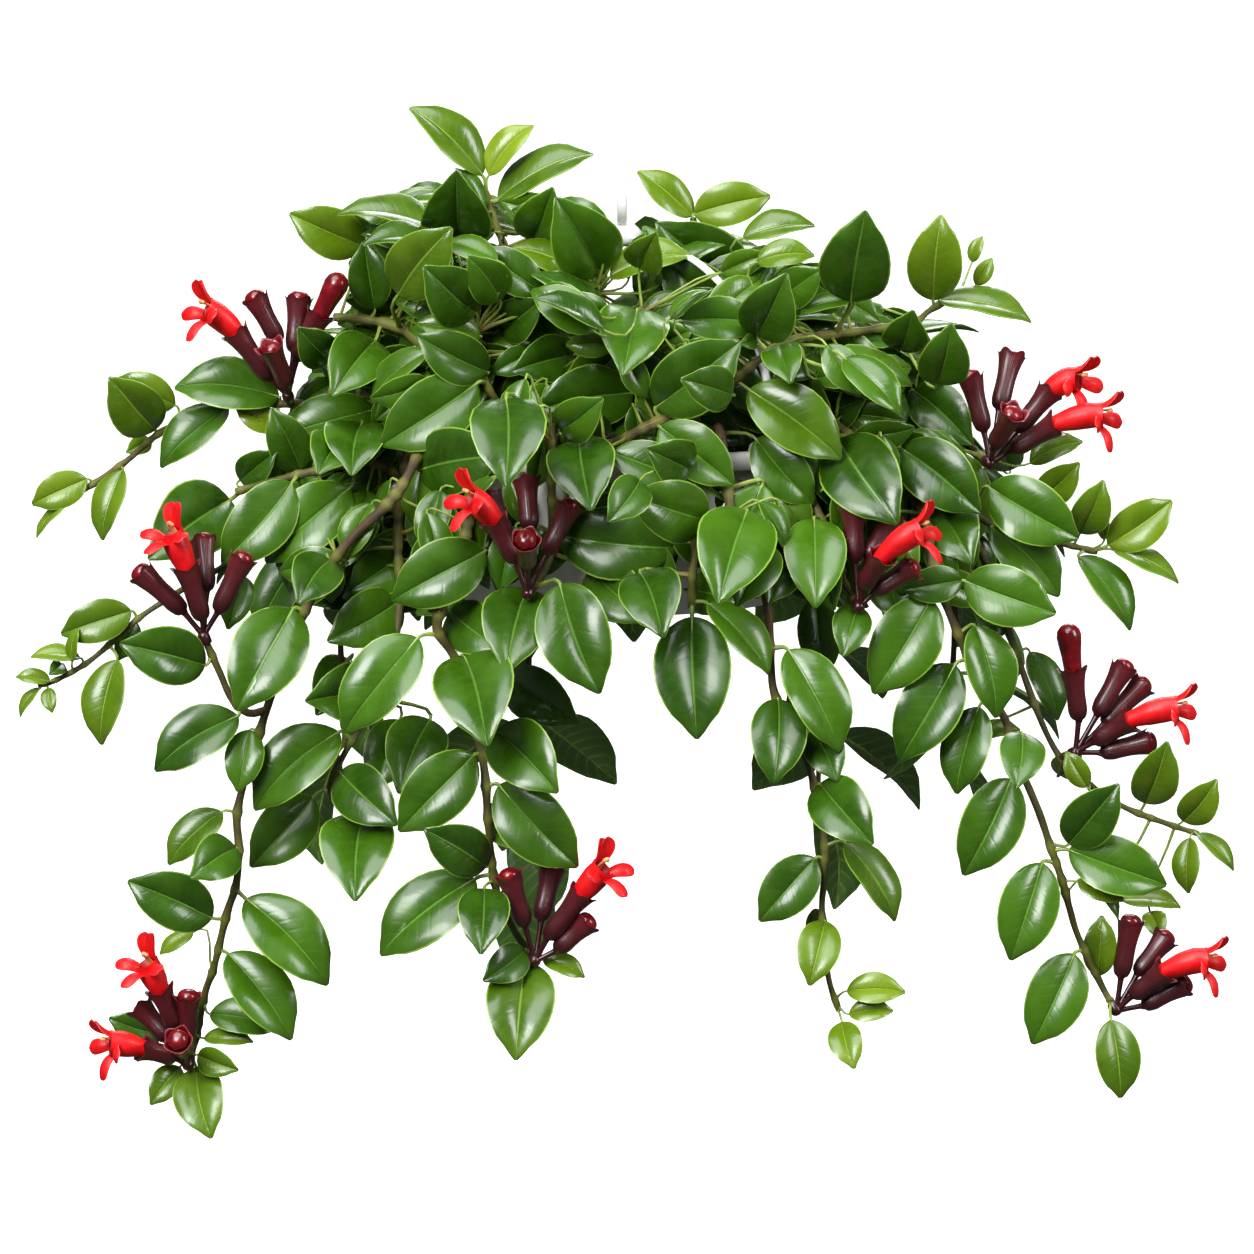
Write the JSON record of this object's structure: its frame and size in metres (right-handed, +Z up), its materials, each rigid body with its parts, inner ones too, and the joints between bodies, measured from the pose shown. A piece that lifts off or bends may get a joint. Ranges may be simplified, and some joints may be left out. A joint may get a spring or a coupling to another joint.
{
  "type": "potted trailing houseplant",
  "caption": "Lipstick plant in a shallow white hanging bowl: glossy paired leaves on arching and trailing stems, dark tubular calyces and scarlet two-lipped flowers.",
  "frame": {"origin": "the flat at the top of the bore of the hanger's ring, where a hook carries the plant; the pot's axis runs straight down from it", "axes": "+Z up, +X to the viewer's right across the widest spread, +Y away from the viewer"},
  "size_m": [0.4572, 0.3224, 0.3764],
  "materials": {
    "leaf_green": "gloss",
    "calyx_maroon": "satin",
    "petal_scarlet": "satin",
    "pot_white": "satin",
    "hanger_white": "satin",
    "soil_brown": "matte"
  },
  "bodies": {
    "root": {"cluster_centre": "calyx_maroon", "cluster_fork": "calyx_maroon", "cluster_left": "calyx_maroon", "cluster_low_centre": "calyx_maroon", "cluster_low_left": "calyx_maroon", "cluster_low_right": "calyx_maroon", "cluster_right": "calyx_maroon", "cluster_shoulder": "calyx_maroon", "cluster_top_left": "calyx_maroon", "flower_centre_1": "petal_scarlet", "flower_fork_1": "petal_scarlet", "flower_left_1": "petal_scarlet", "flower_low_centre_1": "petal_scarlet", "flower_low_left_1": "petal_scarlet", "flower_low_left_2": "petal_scarlet", "flower_low_right_1": "petal_scarlet", "flower_right_1": "petal_scarlet", "flower_shoulder_1": "petal_scarlet", "flower_shoulder_2": "petal_scarlet", "flower_top_left_1": "petal_scarlet", "hanger_arm_back": "hanger_white", "hanger_arm_front": "hanger_white", "hanger_arm_left": "hanger_white", "hanger_hook": "hanger_white", "pot": "pot_white", "soil": "soil_brown", "vine_arch_left": "leaf_green", "vine_arch_right": "leaf_green", "vine_back_1": "leaf_green", "vine_back_2": "leaf_green", "vine_back_3": "leaf_green", "vine_back_4": "leaf_green", "vine_back_5": "leaf_green", "vine_back_6": "leaf_green", "vine_back_7": "leaf_green", "vine_back_8": "leaf_green", "vine_crown_back": "leaf_green", "vine_crown_centre": "leaf_green", "vine_crown_front": "leaf_green", "vine_crown_left": "leaf_green", "vine_crown_right": "leaf_green", "vine_drop_centre": "leaf_green", "vine_drop_left": "leaf_green", "vine_flower_centre": "leaf_green", "vine_flower_right": "leaf_green", "vine_fork_right": "leaf_green", "vine_reach_left": "leaf_green", "vine_reach_low_left": "leaf_green", "vine_reach_right": "leaf_green", "vine_shoulder_right": "leaf_green", "vine_sprig_top_centre": "leaf_green", "vine_sprig_top_left": "leaf_green", "vine_sprig_top_right": "leaf_green", "vine_trail_centre_left": "leaf_green", "vine_trail_centre_right": "leaf_green", "vine_trail_left": "leaf_green", "vine_trail_right": "leaf_green"}
  },
  "joints": []
}
